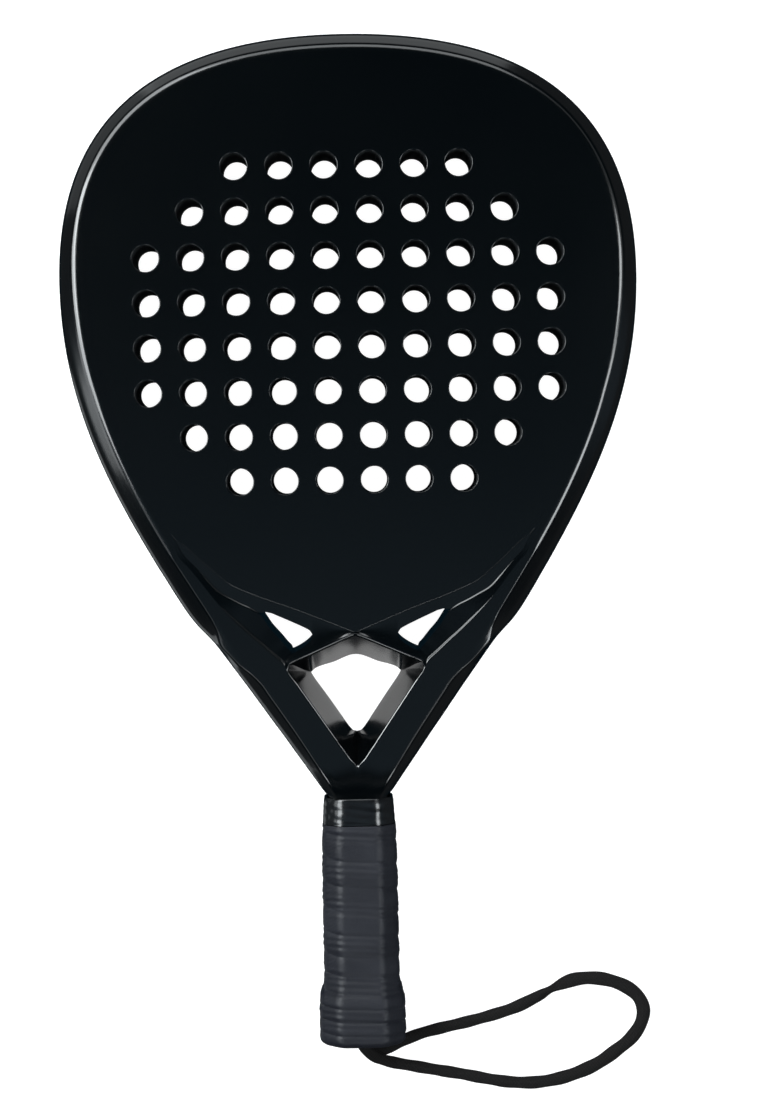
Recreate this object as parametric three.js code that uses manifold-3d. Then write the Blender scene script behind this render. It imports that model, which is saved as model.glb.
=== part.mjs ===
// Padel racket lying on its back face, in millimetres.
//
// +X is to the right, +Y runs from the handle to the head, +Z out of the front face.
// The origin is the middle of the racket's footprint, on the surface it lies on.
// The frame is one carbon tube: a hoop round the head, two arms and two handle legs.
// It holds a foam core between two perforated face sheets, and a crossed bridge
// closes the head above the throat opening.

import * as THREE from 'three';
import { mergeVertices } from 'three/addons/utils/BufferGeometryUtils.js';
import Module from 'manifold-3d';

const wasm = await Module();
wasm.setup();

// ---------------------------------------------------------------- driving dimensions

const LENGTH = 455;
const WIDTH = 259.5;
const DEPTH = 38;
const MID = DEPTH / 2;
const GAP = 0.3;

const HEAD_TOP = LENGTH / 2;
const BUTT_END = -LENGTH / 2;
const WIDEST_Y = 118.4;

const HOLE_PITCH = 20;
const HOLE_RADIUS = 6;
const HOLE_SIDES = 8;
const HOLES_CENTRE_Y = 98.1;
const HOLES_PER_ROW = [6, 8, 10, 10, 10, 10, 8, 6];

const HOOP_WIDTH = 14;
const HOOP_CREASE = 7.5;
const TUBE_WALL = 1.8;
const SHEET_THICKNESS = 1.2;

const TAPE_TOP = -115.4;
const TAPE_MIDDLE = -120.5;
const TAPE_BOTTOM = -127.5;
const TAPE_WALL = 0.5;
const GRIP_TOP = -127.9;
const FLARE_START = -200;
const FLARE_END = -208;
const GRIP_HALF_WIDTH = 17;
const FLARE_HALF_WIDTH = 19.5;
const FLATTER = 1.5;
const OVERGRIP_WALL = 0.7;
const BASE_GRIP_WALL = 1.5;
const TOP_TAPER = 0.6;
const HEEL_TOP = BUTT_END + 6;
const HEEL_KNEE = BUTT_END + 3.6;
const HEEL_ROUND = 1.5;
const CUSHION_END = BUTT_END + 2;
const WRAP_END = BUTT_END + 1.8;

const PALLET_TOP = -131;
const PALLET_END = -216;
const PALLET_HALF_WIDTH = GRIP_HALF_WIDTH - TOP_TAPER - OVERGRIP_WALL - BASE_GRIP_WALL - 2 * GAP;
const LEG_HALF_WIDTH = 9.4;
const LEG_HALF_DEPTH = 8;
const LEG_END = PALLET_END + 2;

const CAP_WALL = 2.1;
const STRAP_SLOT = { width: 9, height: 12 };
const STRAP_WIDTH = 5.5;
const STRAP_THICKNESS = 3.4;
const STRAP_SIDES = 8;
const STRAP_STEPS = 72;

// ---------------------------------------------------------------- materials

const LACQUER = { color: 0x070c0e, roughness: 0.16, metalness: 0.0 };
const FOAM = { color: 0x1a1c1f, roughness: 0.9, metalness: 0.0 };
const HANDLE_FOAM = { color: 0xb8a888, roughness: 0.9, metalness: 0.0 };
const CUSHION = { color: 0x242629, roughness: 0.8, metalness: 0.0 };
const WRAP = { color: 0x3a3c41, roughness: 0.72, metalness: 0.0 };
const FILM = { color: 0x0b0d10, roughness: 0.2, metalness: 0.0 };
const CAP_PLASTIC = { color: 0x15171a, roughness: 0.5, metalness: 0.0 };
const WEBBING = { color: 0x1b1b1d, roughness: 0.85, metalness: 0.0 };

const racket = new THREE.Group();

function addPart(name, geometry, material) {
  const mesh = new THREE.Mesh(geometry, new THREE.MeshStandardMaterial(material));
  mesh.name = name;
  racket.add(mesh);
}

// ---------------------------------------------------------------- geometry helpers

// A mesh from corner points and triangles, with the faces turned outwards.
function closedGeometry(points, triangles) {
  const corner = (index) => new THREE.Vector3(...points[index]);
  let volume = 0;
  for (const [a, b, c] of triangles) {
    volume += corner(a).dot(corner(b).cross(corner(c)));
  }
  const ordered = volume > 0 ? triangles : triangles.map(([a, b, c]) => [a, c, b]);
  const geometry = new THREE.BufferGeometry();
  geometry.setAttribute('position', new THREE.Float32BufferAttribute(points.flat(), 3));
  geometry.setIndex(ordered.flat());
  geometry.computeVertexNormals();
  return geometry;
}

// The two triangles of each quad between two rings of equal length.
function bandTriangles(lower, upper, count) {
  const triangles = [];
  for (let k = 0; k < count; k += 1) {
    const next = (k + 1) % count;
    triangles.push([lower + k, lower + next, upper + next]);
    triangles.push([lower + k, upper + next, upper + k]);
  }
  return triangles;
}

// A closed solid through rings of equal length. flatten drops one axis for the end caps.
function loft(rings, flatten) {
  const count = rings[0].length;
  const points = rings.flat();
  const triangles = [];
  for (let r = 0; r + 1 < rings.length; r += 1) {
    triangles.push(...bandTriangles(r * count, (r + 1) * count, count));
  }
  const last = (rings.length - 1) * count;
  const cap = (ring) => {
    const outline = ring.map((point) => new THREE.Vector2(...flatten(point)));
    const turned = THREE.ShapeUtils.area(outline) < 0;
    const order = outline.map((_, index) => (turned ? count - 1 - index : index));
    const faces = THREE.ShapeUtils.triangulateShape(order.map((index) => outline[index]), []);
    const named = faces.map((face) => face.map((index) => order[index]));
    return turned ? named.map(([a, b, c]) => [a, c, b]) : named;
  };
  for (const [a, b, c] of cap(rings[0])) {
    triangles.push([a, c, b]);
  }
  for (const [a, b, c] of cap(rings.at(-1))) {
    triangles.push([last + a, last + b, last + c]);
  }
  return closedGeometry(points, triangles);
}

// A pipe: an outer skin and an inner skin through matching rings, open at both ends.
function pipe(outerRings, innerRings) {
  const count = outerRings[0].length;
  const inner = outerRings.length * count;
  const last = (outerRings.length - 1) * count;
  const triangles = [];
  for (let r = 0; r + 1 < outerRings.length; r += 1) {
    triangles.push(...bandTriangles(r * count, (r + 1) * count, count));
    triangles.push(...bandTriangles(inner + (r + 1) * count, inner + r * count, count));
  }
  triangles.push(...bandTriangles(inner, 0, count));
  triangles.push(...bandTriangles(last, inner + last, count));
  return closedGeometry([...outerRings.flat(), ...innerRings.flat()], triangles);
}

// A clockwise outline of [x, y] points, with round holes that run the other way, raised
// from one height to another.
function plate(outline, holeCentres, bottom, top) {
  const shape = new THREE.Shape(outline.map(([x, y]) => new THREE.Vector2(x, y)));
  for (const [x, y] of holeCentres) {
    const hole = new THREE.Path();
    const corners = [];
    for (let k = 0; k < HOLE_SIDES; k += 1) {
      const angle = 2 * Math.PI * (k + 0.5) / HOLE_SIDES;
      const reach = [HOLE_RADIUS * Math.cos(angle), HOLE_RADIUS * Math.sin(angle)];
      corners.push(new THREE.Vector2(x + reach[0], y + reach[1]));
    }
    hole.setFromPoints(corners);
    shape.holes.push(hole);
  }
  const solid = new THREE.ExtrudeGeometry(shape, { depth: top - bottom, bevelEnabled: false });
  solid.translate(0, 0, bottom);
  return solid;
}

// An eight-sided ring round the handle's axis at one place along it.
function octagon(y, halfWidth, halfHeight) {
  const facetX = halfWidth * 0.55;
  const facetZ = halfHeight * 0.55;
  const corners = [
    [halfWidth, facetZ], [facetX, halfHeight], [-facetX, halfHeight], [-halfWidth, facetZ],
    [-halfWidth, -facetZ], [-facetX, -halfHeight], [facetX, -halfHeight], [halfWidth, -facetZ],
  ];
  return corners.map(([x, z]) => [x, y, MID + z]);
}

// Rings of a sleeve from stations of [y, half width], and the same rings thinned by a wall.
function sleeve(stations, wall) {
  const outer = stations.map(([y, half]) => octagon(y, half, half - FLATTER));
  const inner = stations.map(([y, half]) => octagon(y, half - wall, half - FLATTER - wall));
  return pipe(outer, inner);
}

function manifoldFrom(geometry) {
  const bare = geometry.clone();
  bare.deleteAttribute('normal');
  bare.deleteAttribute('uv');
  const merged = mergeVertices(bare);
  const vertProperties = merged.getAttribute('position').array;
  const triVerts = new Uint32Array(merged.index.array);
  return new wasm.Manifold(new wasm.Mesh({ numProp: 3, vertProperties, triVerts }));
}

function geometryFrom(manifold) {
  const { vertProperties, triVerts } = manifold.getMesh();
  const geometry = new THREE.BufferGeometry();
  geometry.setAttribute('position', new THREE.BufferAttribute(new Float32Array(vertProperties), 3));
  geometry.setIndex(new THREE.BufferAttribute(new Uint32Array(triVerts), 1));
  geometry.computeVertexNormals();
  return geometry;
}

// ---------------------------------------------------------------- head outline

// The head's right side: from the top to the widest place, then down to the shoulder.
const SHOULDER = [77.9, -27];
const crownCurve = new THREE.CubicBezierCurve(
  new THREE.Vector2(0, HEAD_TOP),
  new THREE.Vector2(75.7, HEAD_TOP),
  new THREE.Vector2(WIDTH / 2, 199.3),
  new THREE.Vector2(WIDTH / 2, WIDEST_Y),
);
const flankCurve = new THREE.CubicBezierCurve(
  new THREE.Vector2(WIDTH / 2, WIDEST_Y),
  new THREE.Vector2(WIDTH / 2, 63.3),
  new THREE.Vector2(SHOULDER[0] + 30.8, SHOULDER[1] + 50.2),
  new THREE.Vector2(...SHOULDER),
);
const CROWN_STEPS = 13;
const FLANK_STEPS = 11;
const FLANK_END = 0.93;

// Points of the right half of the hoop with their inward directions, from the top down.
function hoopStations() {
  const stations = [];
  for (let k = 0; k <= CROWN_STEPS; k += 1) {
    stations.push([crownCurve, k / CROWN_STEPS]);
  }
  for (let k = 1; k <= FLANK_STEPS; k += 1) {
    stations.push([flankCurve, FLANK_END * k / FLANK_STEPS]);
  }
  return stations.map(([curve, t]) => {
    const { x, y } = curve.getPoint(t);
    const along = curve.getTangent(t);
    return { outer: [x, y], inward: [along.y, -along.x] };
  });
}

const hoop = hoopStations();
const inset = ({ outer, inward }, distance) => [
  outer[0] + inward[0] * distance,
  outer[1] + inward[1] * distance,
];
const mirrored = ([x, y]) => [-x, y];

// ---------------------------------------------------------------- frame tube

// Below the head the arms run to the neck: a point on the outside, one on the inside,
// the half depth, how far in the outer and inner creases lie, and the inner wall's
// half height. The throat opening's walls flare from their middle to both faces.
const ARM_STATIONS = [
  { outer: SHOULDER, inner: [57, -20.4], depth: MID, crease: 7.5, flare: 1.5, wall: 17 },
  { outer: [70.8, -36.9], inner: [41, -30.2], depth: MID, crease: 5.5, flare: 8, wall: 15 },
  { outer: [61.7, -46.9], inner: [34.5, -38.5], depth: MID, crease: 4.5, flare: 9, wall: 15 },
  { outer: [54.4, -56.9], inner: [28, -47], depth: MID, crease: 5.5, flare: 7, wall: 12 },
  { outer: [47.3, -66.9], inner: [20.4, -59.4], depth: MID, crease: 6.5, flare: 7.5, wall: 1.5 },
  { outer: [40.4, -76.9], inner: [10.6, -73], depth: MID, crease: 6.8, flare: 7.8, wall: 1.5 },
  { outer: [33.3, -86.9], inner: [0.6, -87], depth: MID, crease: 6.5, flare: 8.8, wall: 1.5 },
  { outer: [26.4, -96.9], inner: [0.3, -97], depth: MID, crease: 6, flare: 2.5, wall: 5 },
  { outer: [19.4, -106.9], inner: [0.3, -107], depth: 18.4, crease: 5, flare: 0.5, wall: 12 },
  { outer: [15, -113.4], inner: [0.3, -113.4], depth: 14.4, crease: 5.5, flare: 0.5, wall: 12 },
  { outer: [13.4, -116.1], inner: [0.3, -116.1], depth: 12.6, crease: 5.5, flare: 0.5, wall: 10 },
  { outer: [11.6, -124], inner: [0.4, -124], depth: 10.5, crease: 2.5, flare: 1, wall: 8 },
  { outer: [LEG_HALF_WIDTH, -130.5], inner: [0.4, -130.5], depth: LEG_HALF_DEPTH,
    crease: 1, flare: 1, wall: 7 },
  { outer: [LEG_HALF_WIDTH, LEG_END], inner: [0.4, LEG_END],
    depth: LEG_HALF_DEPTH, crease: 1, flare: 1, wall: 7 },
];

function tubeStations() {
  const head = hoop.map((station) => ({
    outer: station.outer,
    inner: inset(station, HOOP_WIDTH),
    depth: MID,
    crease: HOOP_CREASE,
    flare: 0.4,
    wall: 18.4,
  }));
  const right = [...head, ...ARM_STATIONS];
  const left = right.slice(1).reverse().map((station) => ({
    ...station,
    outer: mirrored(station.outer),
    inner: mirrored(station.inner),
  }));
  return [...left, ...right];
}

// One ring of the tube, as a closed outline in the plane through its outer and inner point.
function tubeRing({ outer, inner, depth, crease, flare, wall }, skin) {
  const width = Math.hypot(inner[0] - outer[0], inner[1] - outer[1]);
  const across = [(inner[0] - outer[0]) / width, (inner[1] - outer[1]) / width];
  const high = depth - skin;
  const brow = depth * 0.62 - skin * 0.5;
  const side = Math.min(3, depth * 0.4);
  const inside = Math.min(wall, high - 0.4);
  const half = [
    [skin, side],
    [crease * 0.38 + skin, brow],
    [crease + skin * 0.4, high],
    [width - flare - skin * 0.6, high],
    [width - skin, inside],
  ];
  const section = [...half, ...half.map(([s, z]) => [s, -z]).reverse()];
  return section.map(([s, z]) => [outer[0] + across[0] * s, outer[1] + across[1] * s, MID + z]);
}

const stations = tubeStations();
const frameTube = pipe(
  stations.map((station) => tubeRing(station, 0)),
  stations.map((station) => tubeRing(station, TUBE_WALL)),
);
addPart('frame_tube', frameTube, LACQUER);

// ---------------------------------------------------------------- core and face sheets

function holeCentres() {
  const centres = [];
  HOLES_PER_ROW.forEach((count, row) => {
    const y = HOLES_CENTRE_Y + ((HOLES_PER_ROW.length - 1) / 2 - row) * HOLE_PITCH;
    for (let k = 0; k < count; k += 1) {
      centres.push([(k - (count - 1) / 2) * HOLE_PITCH, y]);
    }
  });
  return centres;
}

// The head's inside: along the hoop, then two slanting edges that meet above the throat.
function headOutline() {
  const right = hoop.map((station) => inset(station, HOOP_WIDTH + GAP));
  const bottom = [[56.6, -17], [0, -40]];
  const half = [...right, ...bottom];
  const left = half.slice(1, -1).map(mirrored).reverse();
  return [...half, ...left];
}

const holes = holeCentres();
const head = headOutline();
const coreBottom = SHEET_THICKNESS + GAP;
const coreTop = DEPTH - SHEET_THICKNESS - GAP;
addPart('eva_core', plate(head, holes, coreBottom, coreTop), FOAM);
addPart('front_face_sheet', plate(head, holes, DEPTH - SHEET_THICKNESS, DEPTH), LACQUER);
addPart('back_face_sheet', plate(head, holes, 0, SHEET_THICKNESS), LACQUER);

// ---------------------------------------------------------------- throat bridge

// Two bars that cross on the centre line. The upper halves close the head, the lower
// halves stand on the arms, and a small window is left between them on each side.
// The edge over the throat opening leans back from the middle to both faces.
const BRIDGE_TOP = [[0, -40.4], [56.8, -17.4], [70.2, -10.5]];
const BRIDGE_OUTER = [[56.2, -19.7], [40.6, -29.6]];
const BRIDGE_WINDOW = [[19, -39.6], [26.9, -46.6]];
const BRIDGE_LEG_FACE = [[23.6, -51], [0, -42.2]];
const BRIDGE_LEG_MIDDLE = [[20.1, -58.2], [0, -51.5]];

function bridgeRing(z, leg) {
  const half = [...BRIDGE_TOP, ...BRIDGE_OUTER, ...BRIDGE_WINDOW, ...leg];
  const left = half.slice(1, -1).map(mirrored).reverse();
  return [...half, ...left].map(([x, y]) => [x, y, z]);
}

const bridgeRings = [
  bridgeRing(0, BRIDGE_LEG_FACE),
  bridgeRing(MID - 1.5, BRIDGE_LEG_MIDDLE),
  bridgeRing(MID + 1.5, BRIDGE_LEG_MIDDLE),
  bridgeRing(DEPTH, BRIDGE_LEG_FACE),
];
addPart('throat_bridge', loft(bridgeRings, ([x, y]) => [x, y]), LACQUER);

// ---------------------------------------------------------------- handle

// Two foam half shells make the handle's eight sides round the tube's two legs.
function palletOutline() {
  const half = PALLET_HALF_WIDTH;
  const high = half - FLATTER;
  const channelX = LEG_HALF_WIDTH + GAP;
  const channelZ = LEG_HALF_DEPTH + GAP;
  const split = GAP / 2;
  const right = [[channelX, split], [half, split], [half, high * 0.55], [half * 0.55, high]];
  const left = right.map(mirrored).reverse();
  return [[channelX, channelZ], ...right, ...left, [-channelX, channelZ]];
}

function pallet(side) {
  const ring = (y) => palletOutline().map(([x, z]) => [x, y, MID + side * z]);
  return loft([ring(PALLET_TOP), ring(PALLET_END)], ([x, , z]) => [x, z]);
}

addPart('handle_pallet_front', pallet(1), HANDLE_FOAM);
addPart('handle_pallet_back', pallet(-1), HANDLE_FOAM);

// Stations along the grip: straight, then swelling over the butt cap's flare.
function gripStations(shrink, top, end) {
  return [
    [top, GRIP_HALF_WIDTH - TOP_TAPER - shrink],
    [top - 8, GRIP_HALF_WIDTH - TOP_TAPER * 0.6 - shrink],
    [top - 25, GRIP_HALF_WIDTH - shrink],
    [FLARE_START, GRIP_HALF_WIDTH + 0.2 - shrink],
    [FLARE_END, FLARE_HALF_WIDTH - shrink],
    [HEEL_TOP, FLARE_HALF_WIDTH - shrink],
    [HEEL_KNEE, FLARE_HALF_WIDTH - 0.5 - shrink],
    [end, FLARE_HALF_WIDTH - HEEL_ROUND - shrink],
  ];
}

const cushionShrink = OVERGRIP_WALL + GAP;
addPart('overgrip', sleeve(gripStations(0, GRIP_TOP, WRAP_END), OVERGRIP_WALL), WRAP);
addPart(
  'base_grip',
  sleeve(gripStations(cushionShrink, GRIP_TOP - 1.6, CUSHION_END), BASE_GRIP_WALL),
  CUSHION,
);

const tapeStations = [[TAPE_TOP, 15.5], [TAPE_MIDDLE, 15.9], [TAPE_BOTTOM, 16.4]];
addPart('finishing_tape', sleeve(tapeStations, TAPE_WALL), FILM);

// ---------------------------------------------------------------- butt cap

// A cup over the end of the pallets. Its flare gives the handle its heel, and the
// wrist strap leaves through a slot in its end wall.
function buttCap() {
  const flare = FLARE_HALF_WIDTH - cushionShrink - BASE_GRIP_WALL - GAP;
  const bore = PALLET_HALF_WIDTH + GAP;
  const ring = (y, half) => octagon(y, half, half - FLATTER);
  const flat = ([x, , z]) => [x, z];
  const outside = loft([
    ring(BUTT_END, flare - 4),
    ring(CUSHION_END, flare - HEEL_ROUND),
    ring(HEEL_KNEE, flare - 0.5),
    ring(HEEL_TOP, flare),
    ring(FLARE_END, flare),
  ], flat);
  const cavity = loft([
    ring(BUTT_END + CAP_WALL, bore),
    ring(FLARE_END + 1, bore),
  ], flat);
  const { width, height } = STRAP_SLOT;
  const slotRing = (y) => octagon(y, width / 2, height / 2);
  const slot = loft([slotRing(BUTT_END - 1), slotRing(BUTT_END + CAP_WALL + 1)], flat);
  return manifoldFrom(outside).subtract(manifoldFrom(cavity)).subtract(manifoldFrom(slot));
}

addPart('butt_cap', geometryFrom(buttCap()), CAP_PLASTIC);

// ---------------------------------------------------------------- wrist strap

// The strap leaves the cap, drops to the surface, runs out in one long loop to the
// right and comes back in over its own start. Both ends meet a knot inside the cap.
const STRAP_ROUTE = [
  [0, -225, 22.2], [0.2, -229.3, 22], [2, -232.8, 19.6], [5.4, -236.6, 14.4],
  [10, -239.9, 8.2], [15.6, -242.3, 4.2], [22.6, -243.9, 3.1], [34.3, -246.2, 3],
  [45.7, -248.3, 3], [57, -250.7, 3], [68, -252.5, 3], [79, -252.9, 3], [90, -251.4, 3],
  [100, -248.4, 3], [109.3, -244.1, 3], [117.3, -238.6, 3], [124, -233.2, 3],
  [128.6, -226.6, 3], [130, -220.2, 3], [128, -214.4, 3], [123.2, -209.9, 3],
  [115.6, -206.4, 3], [106.8, -204.8, 3], [98, -205.4, 3], [89.8, -208.4, 3],
  [80.6, -213.1, 3], [70.6, -217.7, 3], [60, -221, 3], [48, -224, 3], [36, -226.6, 3],
  [26.6, -228.9, 3.1], [18.6, -231.8, 3.6], [11.6, -234.4, 6.2], [5.6, -234.6, 10.6],
  [1.6, -232, 14.4], [0.2, -228.6, 15.9], [0, -225, 16],
];

function wristStrap() {
  const section = new THREE.Shape();
  const corners = [];
  for (let k = 0; k < STRAP_SIDES; k += 1) {
    const angle = 2 * Math.PI * (k + 0.5) / STRAP_SIDES;
    corners.push(new THREE.Vector2(
      STRAP_THICKNESS / 2 * Math.cos(angle),
      STRAP_WIDTH / 2 * Math.sin(angle),
    ));
  }
  section.setFromPoints(corners);
  const route = STRAP_ROUTE.map((point) => new THREE.Vector3(...point));
  const path = new THREE.CatmullRomCurve3(route, false, 'centripetal');
  return new THREE.ExtrudeGeometry(section, { steps: STRAP_STEPS, extrudePath: path });
}

addPart('wrist_strap', wristStrap(), WEBBING);

// The stopper knot that keeps both ends of the strap inside the cap.
function strapKnot() {
  const knot = new THREE.TorusKnotGeometry(2.9, 0.95, 48, 6, 2, 3);
  knot.rotateX(Math.PI / 2);
  knot.scale(1, 0.9, 1.35);
  knot.translate(0, BUTT_END + 6.6, MID);
  return knot;
}

addPart('strap_knot', strapKnot(), WEBBING);

export default racket;
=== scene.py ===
"""The looks of a padel racket, lying on its back face on a pale table, seen from above.

Lengths in the tables are millimetres in the frame's own axes: +X right, +Y from handle
to head, +Z out of the front face. to_metres() is used wherever they become geometry.
"""

import math

import bmesh
import bpy
import numpy as np
from mathutils import Matrix, Vector
from mathutils.geometry import delaunay_2d_cdt


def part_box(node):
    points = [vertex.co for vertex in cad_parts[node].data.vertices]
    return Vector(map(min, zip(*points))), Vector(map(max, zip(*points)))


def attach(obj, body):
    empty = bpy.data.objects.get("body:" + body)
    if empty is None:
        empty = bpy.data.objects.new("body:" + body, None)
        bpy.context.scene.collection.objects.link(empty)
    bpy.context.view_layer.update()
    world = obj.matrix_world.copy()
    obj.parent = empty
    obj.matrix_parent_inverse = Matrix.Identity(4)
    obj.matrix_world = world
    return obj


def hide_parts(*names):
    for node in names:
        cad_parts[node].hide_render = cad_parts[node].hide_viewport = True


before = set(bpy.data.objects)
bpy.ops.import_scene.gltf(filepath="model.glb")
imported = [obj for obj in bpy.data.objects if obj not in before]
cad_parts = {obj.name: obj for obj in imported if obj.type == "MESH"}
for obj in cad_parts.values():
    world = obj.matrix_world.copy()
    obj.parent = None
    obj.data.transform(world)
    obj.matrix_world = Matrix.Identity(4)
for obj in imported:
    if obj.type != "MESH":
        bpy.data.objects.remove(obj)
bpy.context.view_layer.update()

MM = 0.001
# Lengths in millimetres that are under this count as nothing.
TINY = 1e-6


def to_metres(point):
    return Vector([value * MM for value in point])


# ------------------------------------------------------------------ sizes from the frame

def box_mm(node):
    """The two corners of a CAD node's box, to the nearest micron."""
    low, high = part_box(node)
    return [round(value / MM, 3) for value in low], [round(value / MM, 3) for value in high]


TUBE_LOW, TUBE_HIGH = box_mm("frame_tube")
SHEET_LOW, SHEET_HIGH = box_mm("front_face_sheet")
TAPE_LOW, TAPE_HIGH = box_mm("finishing_tape")
WRAP_HIGH = box_mm("overgrip")[1]

HALF_WIDTH = TUBE_HIGH[0]
HEAD_TOP = TUBE_HIGH[1]
MID = (TUBE_LOW[2] + TUBE_HIGH[2]) / 2
HALF_DEPTH = TUBE_HIGH[2] - MID
SHEET_THICKNESS = SHEET_HIGH[2] - SHEET_LOW[2]
TAPE_TOP = TAPE_HIGH[1]
TAPE_END = TAPE_LOW[1]


# ------------------------------------------------------------------ camera

CAMERA_PLACE = (1.642, 37.752, 1176.38)
CAMERA_AIM = (14.478, -3.454, 38.0)
CAMERA_ROLL = 1.1086
CAMERA_LENS = 83.59
SENSOR_WIDTH = 36.0
CLIP_END = 40.0


def make_camera():
    data = bpy.data.cameras.new("camera")
    data.lens = CAMERA_LENS
    data.sensor_width = SENSOR_WIDTH
    data.clip_end = CLIP_END
    camera = bpy.data.objects.new("camera", data)
    bpy.context.scene.collection.objects.link(camera)
    place = to_metres(CAMERA_PLACE)
    forward = (to_metres(CAMERA_AIM) - place).normalized()
    up = Vector((0, 1, 0))
    up = (up - forward * forward.dot(up)).normalized()
    right = forward.cross(up)
    roll = math.radians(CAMERA_ROLL)
    turned_up = up * math.cos(roll) + right * math.sin(roll)
    turned_right = forward.cross(turned_up)
    axes = Matrix((turned_right, turned_up, -forward)).transposed().to_4x4()
    camera.matrix_world = Matrix.Translation(place) @ axes
    bpy.context.scene.camera = camera


make_camera()


# ------------------------------------------------------------------ mesh helpers

WELD_DISTANCE = 0.004
SLIVER = 0.002
SHARP_ANGLE = 35.0


def linked_object(name, mesh):
    obj = bpy.data.objects.new(name, mesh)
    bpy.context.scene.collection.objects.link(obj)
    return obj


def mesh_object(name, points, faces):
    """A mesh from points in millimetres, with its faces turned outwards."""
    mesh = bpy.data.meshes.new(name)
    mesh.from_pydata([to_metres(point) for point in points], [], faces)
    mesh.validate()
    shell = bmesh.new()
    shell.from_mesh(mesh)
    bmesh.ops.recalc_face_normals(shell, faces=shell.faces)
    shell.to_mesh(mesh)
    shell.free()
    for polygon in mesh.polygons:
        polygon.use_smooth = True
    return linked_object(name, mesh)


def welded(name, points, faces):
    """A smooth mesh whose touching points are joined and whose open ends are closed."""
    mesh = bpy.data.meshes.new(name)
    mesh.from_pydata([to_metres(point) for point in points], [], faces)
    shell = bmesh.new()
    shell.from_mesh(mesh)
    bmesh.ops.remove_doubles(shell, verts=shell.verts, dist=WELD_DISTANCE * MM)
    bmesh.ops.dissolve_degenerate(shell, edges=shell.edges, dist=SLIVER * MM)
    open_edges = [edge for edge in shell.edges if edge.is_boundary]
    bmesh.ops.holes_fill(shell, edges=open_edges, sides=0)
    bmesh.ops.recalc_face_normals(shell, faces=shell.faces)
    for face in shell.faces:
        face.smooth = True
    shell.to_mesh(mesh)
    shell.free()
    mesh.set_sharp_from_angle(angle=math.radians(SHARP_ANGLE))
    return linked_object(name, mesh)


def four_fold(name, quarter, quarter_faces):
    """A closed solid from its front right quarter, with heights above the middle plane."""
    points = []
    faces = []
    for side in (1, -1):
        for half in (1, -1):
            start = len(points)
            points += [(side * x, y, MID + half * height) for x, y, height in quarter]
            faces += [tuple(start + k for k in face) for face in quarter_faces]
    return welded(name, points, faces)


def close_loops(points, faces, loops):
    """Adds quads between loops of equal length."""
    first = len(points)
    count = len(loops[0])
    for loop in loops:
        points += loop
    for level in range(len(loops) - 1):
        near = first + level * count
        for k in range(count):
            beside = (k + 1) % count
            faces.append((near + k, near + beside, near + count + beside, near + count + k))


def place_piece(obj, body, material, slot, *nodes):
    """Gives a piece its material and puts it in place of CAD nodes. The slot is not used."""
    obj.data.materials.clear()
    obj.data.materials.append(material)
    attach(obj, body)
    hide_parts(*nodes)


def bezier(corners, t):
    a, b, c, d = (np.array(corner, float) for corner in corners)
    s = 1 - t
    return s * s * s * a + 3 * s * s * t * b + 3 * s * t * t * c + t * t * t * d


def bezier_slope(corners, t):
    a, b, c, d = (np.array(corner, float) for corner in corners)
    s = 1 - t
    return 3 * s * s * (b - a) + 6 * s * t * (c - b) + 3 * t * t * (d - c)


# ------------------------------------------------------------------ node helpers

class Tree:
    """A short way to write shader nodes."""

    def __init__(self, tree):
        self.tree = tree

    def node(self, kind, inputs, **fields):
        node = self.tree.nodes.new(kind)
        for field, value in fields.items():
            setattr(node, field, value)
        for key, value in inputs.items():
            if isinstance(value, bpy.types.NodeSocket):
                self.tree.links.new(value, node.inputs[key])
            else:
                node.inputs[key].default_value = value
        return node

    def product(self, a, b):
        return self.node("ShaderNodeMath", {0: a, 1: b}, operation="MULTIPLY").outputs[0]

    def ranged(self, value, start, stop, low=0.0, high=1.0):
        """Maps start..stop to low..high."""
        inputs = {"Value": value, "From Min": start, "From Max": stop}
        inputs.update({"To Min": low, "To Max": high})
        return self.node("ShaderNodeMapRange", inputs).outputs["Result"]

    def ramp(self, fac, stops):
        node = self.node("ShaderNodeValToRGB", {"Fac": fac})
        elements = node.color_ramp.elements
        while len(elements) < len(stops):
            elements.new(0.5)
        for element, (position, colour) in zip(elements, stops):
            element.position = position
            element.color = (*colour, 1.0)
        return node.outputs["Color"]


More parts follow.
